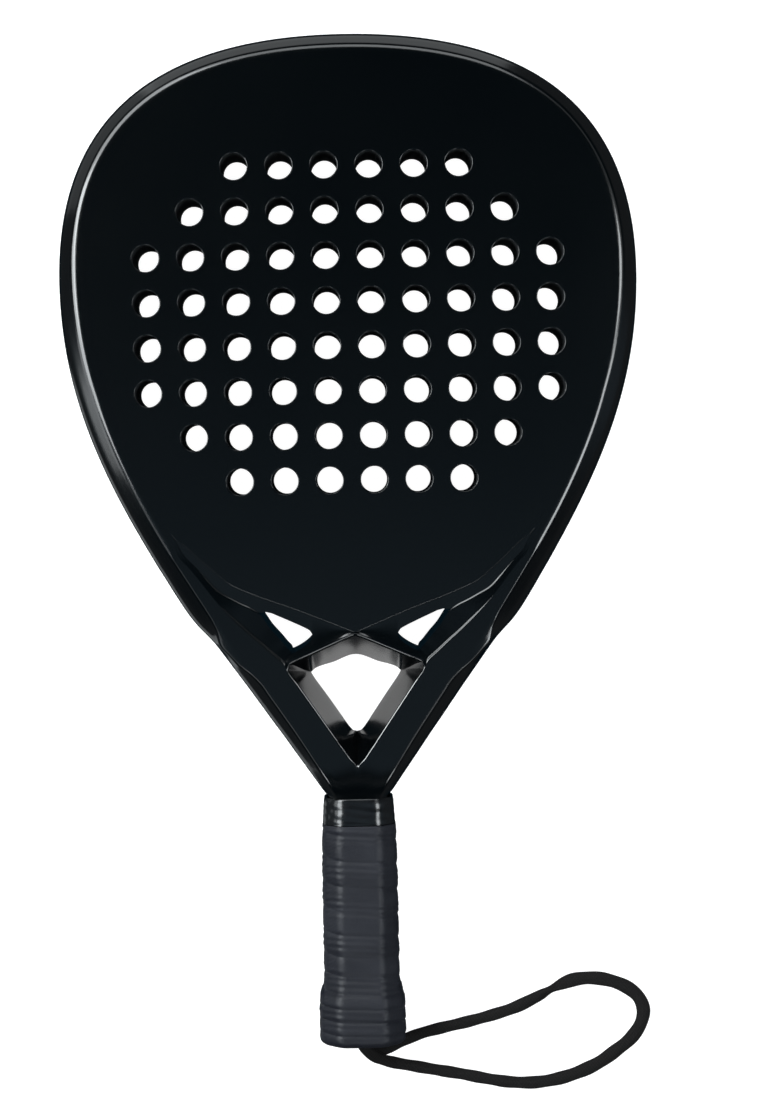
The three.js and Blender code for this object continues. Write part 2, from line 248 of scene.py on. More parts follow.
class Nodes(Tree):
    """The nodes of one material."""

    def __init__(self, name):
        self.material = bpy.data.materials.new(name)
        self.material.use_nodes = True
        super().__init__(self.material.node_tree)
        self.shader = self.tree.nodes["Principled BSDF"]
        self.coords = self.node("ShaderNodeTexCoord", {}).outputs["Object"]

    def set(self, **values):
        for name, value in values.items():
            self.shader.inputs[name.replace("_", " ")].default_value = value

    def link(self, output, name):
        self.tree.links.new(output, self.shader.inputs[name])

    def mapped(self, scale=(1, 1, 1), rotation=(0, 0, 0)):
        inputs = {"Vector": self.coords, "Scale": scale, "Rotation": rotation}
        return self.node("ShaderNodeMapping", inputs).outputs["Vector"]

    def noise(self, scale, detail, roughness, vector=None):
        inputs = {"Vector": vector or self.coords, "Scale": scale}
        inputs.update({"Detail": detail, "Roughness": roughness})
        return self.node("ShaderNodeTexNoise", inputs).outputs["Fac"]

    def ribs(self, scale, degrees):
        """Even ribs, turned about Z."""
        vector = self.mapped(rotation=(0, 0, math.radians(degrees)))
        return self.node("ShaderNodeTexWave", {"Vector": vector, "Scale": scale}).outputs["Fac"]

    def cells(self, scale):
        inputs = {"Vector": self.coords, "Scale": scale}
        return self.node("ShaderNodeTexVoronoi", inputs).outputs["Distance"]

    def bump(self, height, strength, distance, normal=None):
        inputs = {"Height": height, "Strength": strength, "Distance": distance}
        if normal is not None:
            inputs["Normal"] = normal
        return self.node("ShaderNodeBump", inputs).outputs["Normal"]

    def two_tone(self, fac, dark, pale):
        """Colours the surface between two tones, each given as (position, colour)."""
        self.link(self.ramp(fac, [dark, pale]), "Base Color")

    def rough(self, fac, low, high):
        self.link(self.ranged(fac, 0, 1, low, high), "Roughness")


# ------------------------------------------------------------------ materials

def lacquer_material():
    """Gloss black lacquer over carbon, with a faint twill under it and slight orange peel."""
    nodes = Nodes("black_lacquer")
    nodes.set(Roughness=0.16, IOR=1.5)
    twill = nodes.ribs(260.0, 45)
    nodes.two_tone(twill, (0.2, (0.0002, 0.0005, 0.0007)), (0.8, (0.0004, 0.0008, 0.0011)))
    smear = nodes.noise(9.0, 2.0, 0.5)
    nodes.rough(smear, 0.11, 0.19)
    peel = nodes.noise(420.0, 1.0, 0.4)
    swell = nodes.noise(24.0, 1.0, 0.4)
    fine = nodes.bump(peel, 0.07, 0.00010)
    nodes.link(nodes.bump(swell, 0.04, 0.0006, fine), "Normal")
    return nodes.material


def foam_material(name, colour, scale):
    """Closed-cell foam: fine cells with a slight change of tone."""
    nodes = Nodes(name)
    nodes.set(Roughness=0.9, Specular_IOR_Level=0.2)
    cells = nodes.cells(scale)
    darker = tuple(value * 0.6 for value in colour)
    nodes.two_tone(cells, (0.0, darker), (0.6, colour))
    nodes.link(nodes.bump(cells, 0.35, 0.0004), "Normal")
    return nodes.material


def wrap_material():
    """Soft charcoal overgrip: a fine napped film with tiny pores and worn, paler patches."""
    nodes = Nodes("overgrip_wrap")
    nodes.set(Roughness=0.5, Specular_IOR_Level=0.24)
    patch = nodes.noise(34.0, 3.0, 0.55, nodes.mapped(scale=(1.0, 2.4, 1.0)))
    nodes.two_tone(patch, (0.3, (0.0032, 0.0038, 0.0064)), (0.7, (0.0068, 0.0076, 0.0112)))
    grain = nodes.noise(1500.0, 2.0, 0.6)
    fine = nodes.bump(grain, 0.35, 0.00015)
    nodes.link(nodes.bump(nodes.cells(700.0), 0.25, 0.00020, fine), "Normal")
    nodes.rough(patch, 0.42, 0.58)
    return nodes.material


def film_material():
    """Glossy black stretched film, with fine creases."""
    nodes = Nodes("finishing_film")
    nodes.set(Roughness=0.2, IOR=1.5)
    streak = nodes.noise(60.0, 3.0, 0.6, nodes.mapped(scale=(0.6, 3.5, 0.6)))
    nodes.two_tone(streak, (0.3, (0.0014, 0.0018, 0.0022)), (0.7, (0.0028, 0.0034, 0.0041)))
    nodes.rough(streak, 0.14, 0.28)
    nodes.link(nodes.bump(streak, 0.35, 0.0005), "Normal")
    return nodes.material


def plastic_material():
    """Moulded black plastic with a fine spark-eroded grain."""
    nodes = Nodes("cap_plastic")
    nodes.set(Roughness=0.5)
    grain = nodes.noise(900.0, 2.0, 0.6)
    nodes.two_tone(grain, (0.3, (0.010, 0.011, 0.012)), (0.7, (0.016, 0.017, 0.019)))
    nodes.link(nodes.bump(grain, 0.3, 0.0002), "Normal")
    nodes.rough(grain, 0.42, 0.58)
    return nodes.material


def webbing_material():
    """Soft black braid: two crossing sets of ribs and a slight fuzz."""
    nodes = Nodes("strap_braid")
    nodes.set(Roughness=0.85, Specular_IOR_Level=0.12)
    braid = nodes.product(nodes.ribs(290.0, 40), nodes.ribs(290.0, -40))
    nodes.two_tone(braid, (0.0, (0.0034, 0.0031, 0.0030)), (0.7, (0.0056, 0.0052, 0.0051)))
    fuzz = nodes.bump(nodes.noise(2500.0, 2.0, 0.7), 0.4, 0.0002)
    nodes.link(nodes.bump(braid, 0.35, 0.0003, fuzz), "Normal")
    return nodes.material


def table_material():
    """A white light table."""
    nodes = Nodes("light_table")
    nodes.set(Roughness=0.9, Base_Color=(0.25, 0.25, 0.25, 1), Emission_Color=(1, 1, 1, 1))
    nodes.set(Emission_Strength=1.0)
    return nodes.material


LACQUER = lacquer_material()
CORE_FOAM = foam_material("core_foam", (0.0085, 0.0095, 0.0105), 1400.0)
HANDLE_FOAM = foam_material("handle_foam", (0.45, 0.38, 0.27), 900.0)
CUSHION = foam_material("cushion_band", (0.020, 0.021, 0.023), 1100.0)
WRAP = wrap_material()
FILM = film_material()
CAP_PLASTIC = plastic_material()
WEBBING = webbing_material()


# ------------------------------------------------------------------ wrist strap

# The strap's middle line: out of the cap, down to the table, round the loop and back.
STRAP_ROUTE = [
    (0, -225, 22.2), (0.2, -229.3, 22), (2.0, -232.8, 19.6), (5.4, -236.6, 14.4),
    (10.0, -239.9, 8.2), (15.6, -242.3, 4.2), (22.6, -243.9, 3.1), (34.3, -246.2, 3),
    (45.7, -248.3, 3), (57, -250.7, 3), (68, -252.5, 3), (79, -252.9, 3), (90, -251.4, 3),
    (100, -248.4, 3), (109.3, -244.1, 3), (117.3, -238.6, 3), (124, -233.2, 3),
    (128.6, -226.6, 3), (130, -220.2, 3), (128, -214.4, 3), (123.2, -209.9, 3),
    (115.6, -206.4, 3), (106.8, -204.8, 3), (98, -205.4, 3), (89.8, -208.4, 3),
    (80.6, -213.1, 3), (70.6, -217.7, 3), (60, -221, 3), (48, -224, 3), (36, -226.6, 3),
    (26.6, -228.9, 3.1), (18.6, -231.8, 3.6), (11.6, -234.4, 6.2), (5.6, -234.6, 10.6),
    (1.6, -232, 14.4), (0.2, -228.6, 15.9), (0, -225, 16),
]
STRAP_WIDTH = 5.5
STRAP_THICKNESS = 3.4
STRAP_STEP = 0.8
STRAP_SIDES = 20
CURVE_STEPS = 24

# The strap turns over where it passes this place, within about this length each way.
STRAP_TWIST_PLACE = (88.0, -209.3)
STRAP_TWIST_LENGTH = 8.0

# The braid swells and narrows a little along its length, and is wider to the right:
# by nothing at the first x and by this share from the second x on.
STRAP_SWELL = 0.04
STRAP_SWELL_LENGTH = 2.1
STRAP_WIDE_AT = (60, 100)
STRAP_EXTRA_WIDTH = 0.13


def smooth_route(points, step):
    """Points a step apart along a centripetal Catmull-Rom curve through the given ones."""
    route = [np.array(point, float) for point in points]
    ends = [2 * route[0] - route[1], *route, 2 * route[-1] - route[-2]]
    dense = []
    for a, b, c, d in zip(ends, ends[1:], ends[2:], ends[3:]):
        t0 = 0.0
        t1 = t0 + np.linalg.norm(b - a) ** 0.5
        t2 = t1 + np.linalg.norm(c - b) ** 0.5
        t3 = t2 + np.linalg.norm(d - c) ** 0.5
        for t in np.linspace(t1, t2, CURVE_STEPS, endpoint=False):
            ab = (t1 - t) / (t1 - t0) * a + (t - t0) / (t1 - t0) * b
            bc = (t2 - t) / (t2 - t1) * b + (t - t1) / (t2 - t1) * c
            cd = (t3 - t) / (t3 - t2) * c + (t - t2) / (t3 - t2) * d
            abc = (t2 - t) / (t2 - t0) * ab + (t - t0) / (t2 - t0) * bc
            bcd = (t3 - t) / (t3 - t1) * bc + (t - t1) / (t3 - t1) * cd
            dense.append((t2 - t) / (t2 - t1) * abc + (t - t1) / (t2 - t1) * bcd)
    dense.append(route[-1])
    dense = np.array(dense)
    reach = np.concatenate([[0], np.cumsum(np.linalg.norm(np.diff(dense, axis=0), axis=1))])
    count = int(reach[-1] / step) + 1
    at = np.linspace(0, reach[-1], count)
    return np.stack([np.interp(at, reach, dense[:, axis]) for axis in range(3)], axis=1)


def strap_piece():
    """A soft flat braid that turns on its edge once, near the top of its loop."""
    line = smooth_route(STRAP_ROUTE, STRAP_STEP)
    along = np.gradient(line, axis=0)
    along /= np.linalg.norm(along, axis=1)[:, None]
    twist_at = np.argmin(np.linalg.norm(line[:, :2] - STRAP_TWIST_PLACE, axis=1))
    loops = []
    for index, (place, ahead) in enumerate(zip(line, along)):
        side = np.cross((0, 0, 1), ahead)
        side /= np.linalg.norm(side)
        up = np.cross(ahead, side)
        away = (index - twist_at) * STRAP_STEP
        turn = math.pi / 2 * (1 + math.tanh(away / STRAP_TWIST_LENGTH))
        swell = 1 + STRAP_SWELL * math.sin(index * STRAP_STEP / STRAP_SWELL_LENGTH)
        reach = 1 + STRAP_EXTRA_WIDTH * float(np.interp(place[0], STRAP_WIDE_AT, (0, 1)))
        loop = []
        for k in range(STRAP_SIDES):
            angle = 2 * math.pi * k / STRAP_SIDES
            wide = STRAP_WIDTH / 2 * swell * reach * math.cos(angle)
            thick = STRAP_THICKNESS / 2 * swell * math.sin(angle)
            across = wide * math.cos(turn) - thick * math.sin(turn)
            height = wide * math.sin(turn) + thick * math.cos(turn)
            loop.append(place + side * across + up * height)
        loops.append(loop)
    points = []
    faces = []
    close_loops(points, faces, loops)
    faces.append(tuple(range(STRAP_SIDES)))
    faces.append(tuple(range(len(points) - STRAP_SIDES, len(points))))
    strap = mesh_object("wrist_strap_braid", points, faces)
    place_piece(strap, "root", WEBBING, "strap_webbing", "wrist_strap")


strap_piece()


# ------------------------------------------------------------------ curve helpers

def smooth_through(knots, values, at):
    """Values at some places along a smooth, never overshooting curve through the knots."""
    knots = np.array(knots, float)
    values = np.array(values, float)
    gaps = np.diff(knots)[:, None]
    rises = np.diff(values, axis=0) / gaps
    slopes = np.zeros_like(values)
    before, after = rises[:-1], rises[1:]
    near, far = 2 * gaps[1:] + gaps[:-1], gaps[1:] + 2 * gaps[:-1]
    same_way = before * after > 0
    with np.errstate(divide="ignore", invalid="ignore"):
        mean = (near + far) / (near / before + far / after)
    slopes[1:-1] = np.where(same_way, mean, 0)
    slopes[0], slopes[-1] = rises[0], rises[-1]
    index = np.clip(np.searchsorted(knots, at, side="right") - 1, 0, len(knots) - 2)
    width = gaps[index]
    t = ((at - knots[index])[:, None]) / width
    start, end = values[index], values[index + 1]
    return (
        (1 + 2 * t) * (1 - t) ** 2 * start + t * (1 - t) ** 2 * width * slopes[index]
        + t * t * (3 - 2 * t) * end - t * t * (1 - t) * width * slopes[index + 1]
    )


def fade(knots, values, at):
    """One number that changes smoothly between the knots, as a column."""
    return smooth_through(knots, [(value,) for value in values], at)


# A rounding takes at most this share of each side. Its outer points lie this much further
# from the corner than the ends of its arc.
MOST_OF_SIDE = 0.42
OUTER_POINTS = 1.15


def rounded_corner(before, corner, after, size, steps):
    """Rows of points that round a corner, with one more point on each side of the arc."""
    sides = []
    for neighbour in (before, after):
        reach = neighbour - corner
        far = np.maximum(np.linalg.norm(reach, axis=1), TINY)
        share = np.minimum(size / far, MOST_OF_SIDE)[:, None]
        sides.append((reach, share))
    (back, back_share), (ahead, ahead_share) = sides
    start = corner + back * back_share
    end = corner + ahead * ahead_share
    rows = [corner + back * back_share * OUTER_POINTS]
    for t in np.linspace(0, 1, steps + 1):
        rows.append((1 - t) ** 2 * start + 2 * t * (1 - t) * corner + t * t * end)
    rows.append(corner + ahead * ahead_share * OUTER_POINTS)
    return rows


# ------------------------------------------------------------------ head outline

WIDEST_Y = 118.4
SHOULDER = (77.9, -27.0)
CROWN = [(0, HEAD_TOP), (75.7, HEAD_TOP), (HALF_WIDTH, 199.3), (HALF_WIDTH, WIDEST_Y)]
FLANK = [
    (HALF_WIDTH, WIDEST_Y), (HALF_WIDTH, 63.3),
    (SHOULDER[0] + 30.8, SHOULDER[1] + 50.2), SHOULDER,
]
FLANK_END = 0.84
CROWN_STEPS = 44
FLANK_STEPS = 40

# How far in from the outline the hoop's lines lie: the crease, two lines on the flat
# ring and the ring's inner edge, where the face sheet begins.
CREASE_HEIGHTS = (10, 64.5, 132, 187, 227.5)
CREASE_INSETS = (8.65, 9.25, 7.2, 7.0, 6.5)
FLAT_INSETS = (12.6, 13.2)
RING_WIDTH = 13.9


def hoop_places():
    """Points of the hoop's right half, from the top down, with their inward directions."""
    steps = [(CROWN, k / CROWN_STEPS) for k in range(CROWN_STEPS + 1)]
    steps += [(FLANK, FLANK_END * k / FLANK_STEPS) for k in range(1, FLANK_STEPS + 1)]
    places = []
    for curve, t in steps:
        slope = bezier_slope(curve, t)
        slope /= np.linalg.norm(slope)
        places.append((bezier(curve, t), np.array((slope[1], -slope[0]))))
    return places


# ------------------------------------------------------------------ frame shell

# Below the hoop the frame is given as rows, one row for each place down the arm. Six
# lines run along it: the outline, the outer crease, the ridge beside the crease, the
# line where the inner bevel begins, the inner edge and the middle of the inner wall. A
# point is (x, y), or (x, y, height above the middle plane) where it lies lower than the
# face. The outline lies on that plane, and a wall that is left out lies under the inner
# edge. The rows begin beside the head, run past the window and the throat to the
# opening's tip, and end inside the handle.
ARM_ROWS = [
    ((88.6, -9.3), (81.0, -5.3), (79.9, -4.9), (78.2, -4.4), (76.2, -3.7, 18.9)),
    ((85.1, -15.1), (77.3, -11.2), (76.2, -10.9), (73.2, -10.2), (70.4, -9.8, 18.8)),
    ((81.6, -21.0), (73.7, -17.0), (72.6, -16.7), (68.4, -16.4), (65.2, -15.3, 18.7)),
    ((77.9, -27.0), (70.0, -22.9), (68.9, -22.6), (63.0, -23.4), (60.0, -20.6, 18.6)),
    ((74.6, -32.0), (66.4, -28.7), (65.3, -28.4), (58.8, -28.3), (55.3, -23.3, 18.4)),
    ((71.1, -36.4), (63.2, -34.3), (62.1, -34.0), (54.4, -33.0), (50.3, -26.0, 18.3)),
    ((66.3, -41.4), (61.6, -39.3, 18.5), (60.1, -38.6), (50.3, -37.0), (45.6, -28.3, 18.2)),
    ((62.8, -45.1), (60.8, -44.4, 18.1), (57.6, -43.0), (46.3, -40.7), (42.4, -31.0, 18.1),
     (42.4, -31.2, 0)),
    ((59.0, -50.3), (56.8, -49.1, 18.7), (54.4, -47.2), (42.5, -44.0), (37.9, -37.6, 18.0)),
    ((55.3, -55.6), (51.8, -54.2), (49.6, -52.0), (38.8, -47.4), (33.9, -42.2, 18.0)),
    ((51.2, -61.5), (46.2, -58.8), (44.2, -56.4), (35.5, -50.4), (31.0, -45.8, 17.9),
     (30.9, -45.9, 0)),
    ((47.5, -66.7), (42.0, -63.2), (39.9, -61.0), (33.0, -52.6), (29.0, -48.4, 17.9),
     (27.5, -49.6, 0)),
    ((44.8, -70.6), (38.9, -68.0), (36.8, -65.5), (31.9, -54.0), (29.0, -51.2, 18.4),
     (22.0, -54.5, 0)),
    ((42.6, -73.7), (36.7, -71.2), (34.6, -68.6), (31.3, -56.2), (30.4, -56.2),
     (20.2, -58.6, 0)),
    ((40.4, -76.9), (34.7, -74.2), (32.4, -71.8), (27.3, -62.3), (26.5, -62.1),
     (19.5, -60.0, 0)),
    ((33.3, -86.9), (28.2, -83.9), (26.0, -81.4), (19.7, -73.5), (18.9, -73.3),
     (13.1, -69.3, 0)),
    ((26.4, -96.9), (21.9, -93.8), (19.6, -91.6), (12.9, -83.6), (12.1, -83.4),
     (7.0, -78.3, 0)),
    ((24.7, -99.3), (20.3, -96.4), (18.0, -94.5), (10.6, -87.0), (9.8, -86.8), (4.2, -82.5, 0)),
    ((23.7, -100.7), (19.4, -97.9), (17.1, -96.1), (9.3, -88.9), (8.5, -88.7), (2.6, -84.6, 0)),
    ((23.2, -101.5), (18.8, -98.7), (16.5, -97.0), (8.6, -90.1), (7.8, -89.9), (1.4, -85.7, 0)),
    ((22.6, -102.3), (18.3, -99.6), (16.0, -98.0), (7.8, -91.2), (7.0, -91.0), (0, -86.1, 0)),
    ((19.6, -106.6), (15.3, -104.8, 18.4), (13.0, -103.4, 18.6), (4.0, -96.7), (3.2, -96.5),
     (0, -94.2, 10.3)),
    ((17.9, -109.1), (13.6, -107.8, 17.7), (11.0, -106.8, 17.9), (1.0, -101.3, 18.8),
     (0, -101.2, 18.8), (0, -101.2, 18.8)),
    ((16.0, -111.9), (12.0, -111.0, 16.4), (9.5, -110.4, 16.7), (0.8, -106.5, 17.9),
     (0, -106.5, 17.9), (0, -106.5, 17.9)),
    ((14.0, -114.4), (10.6, -114.2, 14.3), (8.6, -114.2, 14.4), (0.8, -112.9, 15.0),
     (0, -112.9, 15.0), (0, -112.9, 15.0)),
    ((13.0, -116.0), (9.8, -115.9, 13.0), (8.2, -115.9, 13.0), (0.8, -115.9, 13.1),
     (0, -115.9, 13.1), (0, -115.9, 13.1)),
    ((9.4, -130.5), (7.4, -130.5, 8.0), (6.0, -130.5, 8.0), (0.8, -130.5, 8.0),
     (0, -130.5, 8.0), (0, -130.5, 8.0)),
    ((9.4, -214.0), (7.4, -214.0, 8.0), (6.0, -214.0, 8.0), (0.8, -214.0, 8.0),
     (0, -214.0, 8.0), (0, -214.0, 8.0)),
]
# In the last rows the two arms have met.
NECK_ROWS = 8
ARM_STEP = 1.6
SHORTEST_STEP = 0.25
SIDE_STEPS = 12

# The side of the hoop, from the middle plane up to just outside the crease.
SIDE_INSETS = (0, 0, 1.0 / 7.9, 4.6 / 7.9)
SIDE_HEIGHTS = (0, 12.4 / 19, 13.15 / 19, 16.2 / 19)


def arm_row(outline, *others):
    """A row of ARM_ROWS with its heights, and its wall, filled in."""
    filled = [(*point, HALF_DEPTH)[:3] for point in others]
    if len(filled) == 4:
        filled.append((*filled[-1][:2], 0))
    return [(*outline, 0), *filled]


def frame_lines():
    """The six lines along the frame, sampled from the top of the head to the handle."""
    rows = []
    for place, inward in hoop_places():
        row = [(*place, 0)]
        crease = float(np.interp(place[1], CREASE_HEIGHTS, CREASE_INSETS))
        for inset in (crease, *FLAT_INSETS, RING_WIDTH):
            row.append((*(place + inward * inset), HALF_DEPTH))
        row.append((*(place + inward * RING_WIDTH), 0))
        rows.append(row)
    hoop_rows = len(rows)
    rows += [arm_row(*row) for row in ARM_ROWS]
    table = np.array(rows, float)
    gaps = np.linalg.norm(np.diff(table[:, 0], axis=0), axis=1)
    knots = np.concatenate([[0], np.cumsum(gaps)])
    arm_start = knots[hoop_rows - 1]
    count = int((knots[-1] - arm_start) / ARM_STEP)
    at = np.concatenate([knots[:hoop_rows - 1], np.linspace(arm_start, knots[-1], count)])
    at = np.unique(np.concatenate([at, knots]))
    at = at[np.concatenate([[True], np.diff(at) > SHORTEST_STEP])]
    smooth = smooth_through(knots, table.reshape(len(rows), -1), at)
    return smooth.reshape(len(at), len(rows[0]), 3), at, knots, hoop_rows


# The small step at the foot of the bevel line, by arm row: it grows from nothing beside
# the head, and dies out where the bevel meets the throat opening.
BEVEL_STEP = 0.45
STEP_REACH = 0.9
STEP_AT = (-90, 3, 6, 11, 12.6, 30)
STEP_SIZES = (0, 0, BEVEL_STEP, BEVEL_STEP, 0, 0)

# The slight chamfer along the arm's inner edge, by arm row: beside the band under the
# face, and again along the V below the throat.
CHAMFER_AT = (-90, 0.5, 2.5, 6, 7.2, 12.3, 13.3, 21, 22, 40)
CHAMFER_SIZES = (0, 0, 0.9, 0.9, 0, 0, 0.75, 0.75, 0, 0)
CHAMFER_SLOPE = 0.42

# The rounding of each line: its reach on the head, what is added to that over the first
# stretch of the arm, and its steps.
ARM_FADE = 12.0
CREASE_ROUNDING = (2.7, -1.1, 8)
RIDGE_ROUNDING = (1.0, 0, 3)
BEVEL_ROUNDING = (0.4, 0, 4)
STEP_ROUNDING = (0.3, 0, 2)
CHAMFER_ROUNDING = (0, 0.25, 3)
INNER_ROUNDING = (0.05, 0.25, 4)
WALL_SHARES = (0.35, 0.65)
WALL_ROUNDING = 1.0
WALL_ROUNDING_SHARE = 0.3


def frame_section_points(lines, at, knots, hoop_rows):
    """Rounds the creases between the lines, and returns a grid of points, rows first."""
    outline, crease, ridge, bevel, edge, wall = (lines[:, k] for k in range(6))
    rows = np.interp(at, knots, np.arange(len(knots)) - hoop_rows)
    arm = np.clip((at - knots[hoop_rows - 1]) / ARM_FADE, 0, 1)
    neck = (at >= knots[hoop_rows + len(ARM_ROWS) - NECK_ROWS] - TINY)[:, None]

    def rounded(before, corner, after, rounding):
        reach, added, steps = rounding
        return rounded_corner(before, corner, after, reach + added * arm, steps)

    columns = []
    for t in np.linspace(0, 1, SIDE_STEPS):
        point = outline + (crease - outline) * bezier(SIDE_INSETS, t)
        point[:, 2] = crease[:, 2] * bezier(SIDE_HEIGHTS, t)
        columns.append(point)
    columns += rounded(columns[-1], crease, ridge, CREASE_ROUNDING)
    columns += rounded(crease, ridge, bevel, RIDGE_ROUNDING)
    inwards = edge - bevel
    inwards /= np.linalg.norm(inwards[:, :2], axis=1)[:, None]
    step = fade(STEP_AT, STEP_SIZES, rows)
    foot = bevel + inwards * STEP_REACH * step / BEVEL_STEP
    foot[:, 2] -= step[:, 0]
    columns += rounded(ridge, bevel, foot, BEVEL_ROUNDING)
    columns += rounded(bevel, foot, edge, STEP_ROUNDING)
    chamfer = fade(CHAMFER_AT, CHAMFER_SIZES, rows)
    lip = edge - inwards * (1, 1, 0) * chamfer
    edge = edge - np.array((0, 0, CHAMFER_SLOPE)) * chamfer
    # Below the throat the two sides have met, and there is no wall between them.
    wall = np.where(edge[:, :1] < TINY, edge, wall)
    columns += rounded(foot, lip, edge, CHAMFER_ROUNDING)
    columns += rounded(lip, edge, wall, INNER_ROUNDING)
    for share in WALL_SHARES:
        columns.append(edge + (wall - edge) * share)
    # The wall is rounded across the middle plane, and left as it is in the neck.
    reach = np.maximum(np.linalg.norm(edge - wall, axis=1), TINY)[:, None]
    share = np.minimum(np.where(neck, 0, WALL_ROUNDING) / reach, WALL_ROUNDING_SHARE)
    near = wall + (edge - wall) * share
    below = near * (1, 1, -1)
    columns.append(near)
    for t in (0.25, 0.5):
        arc = (1 - t) ** 2 * near + 2 * t * (1 - t) * wall + t * t * below
        columns.append(np.where(neck, wall, arc))
    return np.stack(columns, axis=1)


FRAME_LINES, FRAME_AT, FRAME_KNOTS, HOOP_ROWS = frame_lines()


def frame_piece():
    grid = frame_section_points(FRAME_LINES, FRAME_AT, FRAME_KNOTS, HOOP_ROWS)
    rows, columns = grid.shape[:2]
    faces = []
    for row in range(rows - 1):
        for column in range(columns - 1):
            corner = row * columns + column
            faces.append((corner, corner + 1, corner + columns + 1, corner + columns))
    shell = four_fold("frame_shell", grid.reshape(-1, 3), faces)
    place_piece(shell, "root", LACQUER, "lacquered_carbon", "frame_tube")


frame_piece()


# ------------------------------------------------------------------ face sheets and core

HOLE_PITCH = 20.0
HOLE_RADIUS = 6.0
HOLES_CENTRE_Y = 98.1
HOLES_PER_ROW = (6, 8, 10, 10, 10, 10, 8, 6)
HOLE_SIDES = 44
HOLE_ROUNDING = 0.32
EDGE_ROUNDING = 0.3
EDGE_FADE = 6
ROUNDING_STEPS = 4
# The triangles of the face end this far from each hole and from the rounded edge.
HOLE_COLLAR = 0.15
HOLE_COLLAR_SHARE = 1.4
EDGE_COLLAR_SHARE = 1.2
# How the faces are cut: whole triangles, joined within this distance, and kept where
# their middle lies outside this share of a hole's radius.
CUT_TRIANGLES = 0
CUT_TOLERANCE = 1e-7
CUT_SHARE = 0.995

# The face's lower edge, from the tip beside the frame to the middle of the throat.
FACE_EDGE = [
    (79.8, 3.2), (75, -0.2), (70, -5), (62, -12.2), (55, -17.9), (50, -20.3), (40, -24.4),
    (30, -28.0), (20, -31.9), (10, -36.0), (0, -40.2),
]
FACE_EDGE_STEP = 1.5


def hole_centres():
    centres = []
    for row, count in enumerate(HOLES_PER_ROW):
        y = HOLES_CENTRE_Y + ((len(HOLES_PER_ROW) - 1) / 2 - row) * HOLE_PITCH
        centres += [((k - (count - 1) / 2) * HOLE_PITCH, y) for k in range(count)]
    return centres


def curve_by_x(points, xs):
    """Points at given x along a smooth curve through points that run towards x = 0."""
    table = np.array(points, float)
    return smooth_through(-table[:, 0], table, -np.array(xs, float))


def face_edge():
    count = int(FACE_EDGE[0][0] / FACE_EDGE_STEP)
    xs = np.linspace(FACE_EDGE[0][0], 0, count)
    return curve_by_x(FACE_EDGE, xs)


def face_outline():
    """The face's outline: down the frame's inner edge to the tip, then to the throat."""
    hoop_end = np.searchsorted(FRAME_AT, FRAME_KNOTS[HOOP_ROWS - 1] - TINY)
    right = [tuple(point[:2]) for point in FRAME_LINES[:hoop_end, 4]]
    right += [tuple(point) for point in face_edge()]
    left = [(-x, y) for x, y in right[1:-1]]
    return right + left[::-1]


def inside_outline(points, outline):
    x, y = points[:, 0], points[:, 1]
    inside = np.zeros(len(points), bool)
    for (x1, y1), (x2, y2) in zip(outline, outline[1:] + outline[:1]):
        crosses = (y1 > y) != (y2 > y)
        with np.errstate(divide="ignore", invalid="ignore"):
            at = (x2 - x1) * (y - y1) / (y2 - y1) + x1
        inside ^= crosses & (x < at)
    return inside


def ring(centre, radius, height):
    angles = [2 * math.pi * k / HOLE_SIDES for k in range(HOLE_SIDES)]
    x, y = centre
    return [(x + radius * math.cos(a), y + radius * math.sin(a), height) for a in angles]


def edge_roundings(outline):
    """How much each corner of the outline is rounded: only the edge over the throat is."""
    tip = FACE_EDGE[0][0]
    sizes = []
    for x, y in outline:
        low = y < FACE_EDGE[0][1] + TINY
        sizes.append(EDGE_ROUNDING * min(1, (tip - abs(x)) / EDGE_FADE) if low else 0)
    return np.array(sizes)


def inward_normals(outline):
    points = np.array(outline)
    along = np.roll(points, -1, axis=0) - np.roll(points, 1, axis=0)
    along /= np.linalg.norm(along, axis=1)[:, None]
    return np.stack([along[:, 1], -along[:, 0]], axis=1)


def rounded_profile(rounding):
    """How far out of the wall and below the face each ring of a rounded edge lies."""
    turns = [math.pi / 2 * k / ROUNDING_STEPS for k in range(ROUNDING_STEPS + 1)]
    return [(rounding * (1 - math.sin(a)), rounding * (1 - math.cos(a))) for a in turns]


def cut_face(outline, centres, radius):
    """The corners and triangles of a flat face with round holes."""
    loops = [outline] + [[p[:2] for p in ring(centre, radius, 0)] for centre in centres]
    flat = []
    edges = []
    for loop in loops:
        start = len(flat)
        flat += loop
        edges += [(start + k, start + (k + 1) % len(loop)) for k in range(len(loop))]
    flat = [Vector(point) for point in flat]
    made = delaunay_2d_cdt(flat, edges, [], CUT_TRIANGLES, CUT_TOLERANCE)
    corners = np.array([tuple(point) for point in made[0]])
    triangles = np.array(made[2])
    middles = corners[triangles].mean(axis=1)
    keep = inside_outline(middles, outline)
    for centre in centres:
        keep &= np.linalg.norm(middles - centre, axis=1) > radius * CUT_SHARE
    return corners, triangles[keep]


